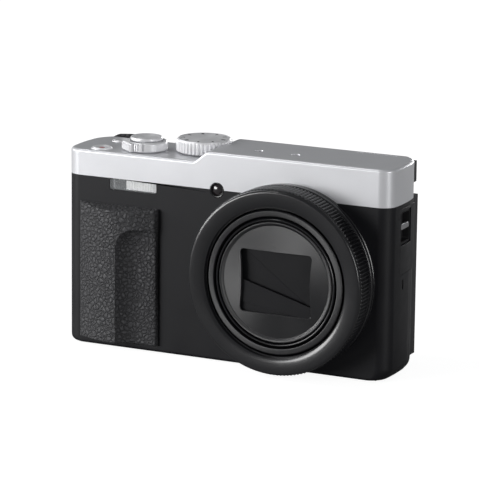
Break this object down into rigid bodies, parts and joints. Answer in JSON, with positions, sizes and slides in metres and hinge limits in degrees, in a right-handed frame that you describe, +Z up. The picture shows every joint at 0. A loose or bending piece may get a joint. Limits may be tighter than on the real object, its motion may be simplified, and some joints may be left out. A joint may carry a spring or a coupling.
{
  "type": "compact digital camera",
  "caption": "Compact travel-zoom camera: silver top cover, black body, leather-look grip, extending lens with control ring, flip-up monitor, finder and top dials.",
  "frame": {"origin": "centre of the base, on the surface it stands on, under the middle of the overall box", "axes": "+X towards the lens side, -Y the way the lens looks, +Z up"},
  "size_m": [0.112, 0.0416, 0.0676],
  "materials": {
    "black_shell": "fine satin black coat",
    "silver_shell": "fine satin silver paint",
    "grip_rubber": "pebbled leather-look grain",
    "ring_black": "black anodised, satin",
    "barrel_black": "black anodised, fine matt",
    "blade_black": "matt black coat",
    "lens_glass": "clear coated glass",
    "clear_window": "clear moulded window",
    "lamp_window": "smoked glossy lens",
    "silver_control": "satin silver, spun top faces",
    "black_control": "satin black",
    "bright_metal": "polished",
    "steel": "plain",
    "inner_black": "matt",
    "reflector": "bright reflector",
    "capacitor_sleeve": "heat-shrink sleeve",
    "circuit_board": "solder mask",
    "sensor_face": "coated",
    "battery_sleeve": "matt",
    "motor_can": "plated",
    "monitor_case": "satin",
    "monitor_panel": "glossy dark panel"
  },
  "bodies": {
    "root": {"front_cover": "black_shell", "rear_cover": "black_shell", "top_cover": "silver_shell", "base_cover": "black_shell", "chassis": "steel", "tripod_socket": "steel", "front_grip": "grip_rubber", "thumb_rest": "grip_rubber", "side_plate": "black_shell", "strap_lugs": "bright_metal", "case_screws": "steel", "flash_window": "clear_window", "flash_unit": "reflector", "flash_capacitor": "capacitor_sleeve", "af_lamp": "lamp_window", "lens_flange": "ring_black", "lens_housing": "inner_black", "rear_lens_group": "lens_glass", "image_sensor": "sensor_face", "main_board": "circuit_board", "battery_case": "inner_black", "battery_pack": "battery_sleeve", "card_slot": "steel", "memory_card": "battery_sleeve", "zoom_motor": "motor_can", "speaker": "inner_black", "button_board": "circuit_board", "viewfinder_unit": "inner_black", "eyepiece_frame": "black_shell", "eyepiece_lens": "lens_glass"},
    "shutter": {"shutter_button": "silver_control"},
    "zoom_lever": {"zoom_lever": "silver_control"},
    "mode_dial": {"mode_dial": "silver_control"},
    "record": {"record_button": "silver_control"},
    "power": {"power_button": "silver_control"},
    "control_ring": {"control_ring": "ring_black"},
    "cam_ring": {"cam_ring": "inner_black"},
    "outer_barrel": {"outer_barrel": "barrel_black"},
    "inner_barrel": {"inner_barrel": "barrel_black", "name_plate": "barrel_black", "front_lens": "lens_glass"},
    "blade_1": {"barrier_blade_1": "blade_black"},
    "blade_2": {"barrier_blade_2": "blade_black"},
    "blade_3": {"barrier_blade_3": "blade_black"},
    "blade_4": {"barrier_blade_4": "blade_black"},
    "monitor_arm": {"monitor_arm": "inner_black", "hinge_pins": "steel"},
    "monitor": {"monitor_frame": "monitor_case", "monitor_glass": "monitor_panel"},
    "diopter_dial": {"diopter_dial": "black_control"},
    "rear_dial": {"rear_dial": "black_control"},
    "set_button": {"set_button": "black_control"},
    "play_button": {"play_button": "black_control"},
    "delete_button": {"delete_button": "black_control"},
    "display_button": {"display_button": "black_control"},
    "menu_button": {"menu_button": "black_control"},
    "battery_door": {"battery_door": "black_shell"},
    "door_lock": {"door_lock": "black_control"},
    "terminal_door": {"terminal_door": "black_shell"}
  },
  "joints": [
    {"name": "shutter_press", "type": "slide", "parent": "root", "child": "shutter", "axis": [0, 0, -1], "range_m": [0, 0.0008], "stiffness_N_per_m": 220},
    {"name": "zoom_lever_turn", "type": "hinge", "parent": "root", "child": "zoom_lever", "pos_m": [-0.0316, -0.0005, 0.064], "axis": [0, 0, 1], "range_deg": [-17, 17], "stiffness_Nm_per_rad": 0.02},
    {"name": "mode_dial_turn", "type": "hinge", "parent": "root", "child": "mode_dial", "pos_m": [-0.0142, 0.0052, 0.065], "axis": [0, 0, 1], "continuous": true},
    {"name": "record_press", "type": "slide", "parent": "root", "child": "record", "axis": [0, 0, -1], "range_m": [0, 0.0004], "stiffness_N_per_m": 220},
    {"name": "power_press", "type": "slide", "parent": "root", "child": "power", "axis": [0, 0, -1], "range_m": [0, 0.0004], "stiffness_N_per_m": 220},
    {"name": "control_ring_turn", "type": "hinge", "parent": "root", "child": "control_ring", "pos_m": [0.0223, 0, 0.0302], "axis": [0, -1, 0], "continuous": true},
    {"name": "outer_barrel_slide", "type": "slide", "parent": "root", "child": "outer_barrel", "axis": [0, -1, 0], "range_m": [0, 0.016]},
    {"name": "inner_barrel_slide", "type": "slide", "parent": "outer_barrel", "child": "inner_barrel", "axis": [0, -1, 0], "range_m": [0, 0.016]},
    {"name": "cam_ring_turn", "type": "hinge", "parent": "root", "child": "cam_ring", "pos_m": [0.0223, 0, 0.0302], "axis": [0, -1, 0], "range_deg": [0, 92]},
    {"name": "blade_1_turn", "type": "hinge", "parent": "inner_barrel", "child": "blade_1", "pos_m": [0.0375, 0, 0.0223], "axis": [0, -1, 0], "range_deg": [0, 17]},
    {"name": "blade_2_turn", "type": "hinge", "parent": "inner_barrel", "child": "blade_2", "pos_m": [0.0375, 0, 0.0223], "axis": [0, -1, 0], "range_deg": [0, 8.1]},
    {"name": "blade_3_turn", "type": "hinge", "parent": "inner_barrel", "child": "blade_3", "pos_m": [0.0071, 0, 0.0396], "axis": [0, -1, 0], "range_deg": [0, 10.1]},
    {"name": "blade_4_turn", "type": "hinge", "parent": "inner_barrel", "child": "blade_4", "pos_m": [0.0071, 0, 0.0396], "axis": [0, -1, 0], "range_deg": [0, 20.1]},
    {"name": "monitor_arm_tilt", "type": "hinge", "parent": "root", "child": "monitor_arm", "pos_m": [0.016, 0.0149, 0.039], "axis": [-1, 0, 0], "range_deg": [0, 60]},
    {"name": "monitor_flip", "type": "hinge", "parent": "monitor_arm", "child": "monitor", "pos_m": [0.016, 0.0149, 0.055], "axis": [1, 0, 0], "range_deg": [0, 240.1]},
    {"name": "diopter_turn", "type": "hinge", "parent": "root", "child": "diopter_dial", "pos_m": [0.0246, 0.017, 0.0607], "axis": [0, 1, 0], "range_deg": [-135, 135]},
    {"name": "rear_dial_turn", "type": "hinge", "parent": "root", "child": "rear_dial", "pos_m": [-0.0386, 0.017, 0.022], "axis": [0, 1, 0], "continuous": true},
    {"name": "set_press", "type": "slide", "parent": "root", "child": "set_button", "axis": [0, -1, 0], "range_m": [0, 0.0005], "stiffness_N_per_m": 220},
    {"name": "play_press", "type": "slide", "parent": "root", "child": "play_button", "axis": [0, -1, 0], "range_m": [0, 0.0004], "stiffness_N_per_m": 220},
    {"name": "delete_press", "type": "slide", "parent": "root", "child": "delete_button", "axis": [0, -1, 0], "range_m": [0, 0.0004], "stiffness_N_per_m": 220},
    {"name": "display_press", "type": "slide", "parent": "root", "child": "display_button", "axis": [0, -1, 0], "range_m": [0, 0.0004], "stiffness_N_per_m": 220},
    {"name": "menu_press", "type": "slide", "parent": "root", "child": "menu_button", "axis": [0, -1, 0], "range_m": [0, 0.0004], "stiffness_N_per_m": 220},
    {"name": "battery_door_swing", "type": "hinge", "parent": "root", "child": "battery_door", "pos_m": [-0.047, 0.0034, 0.00075], "axis": [0, 1, 0], "range_deg": [0, 95]},
    {"name": "door_lock_slide", "type": "slide", "parent": "battery_door", "child": "door_lock", "axis": [-1, 0, 0], "range_m": [0, 0.002]},
    {"name": "terminal_door_swing", "type": "hinge", "parent": "root", "child": "terminal_door", "pos_m": [-0.0552, 0.00495, 0.0282], "axis": [0, 0, 1], "range_deg": [0, 100]}
  ],
  "couplings": [
    {"joint": "inner_barrel_slide", "follows": "outer_barrel_slide", "ratio": 1},
    {"joint": "cam_ring_turn", "follows": "outer_barrel_slide", "rad_per_m": 100},
    {"joint": "blade_2_turn", "follows": "blade_1_turn", "ratio": 0.47059},
    {"joint": "blade_3_turn", "follows": "blade_1_turn", "ratio": 0.58824},
    {"joint": "blade_4_turn", "follows": "blade_1_turn", "ratio": 1.1765},
    {"joint": "monitor_flip", "follows": "monitor_arm_tilt", "ratio": 4}
  ]
}
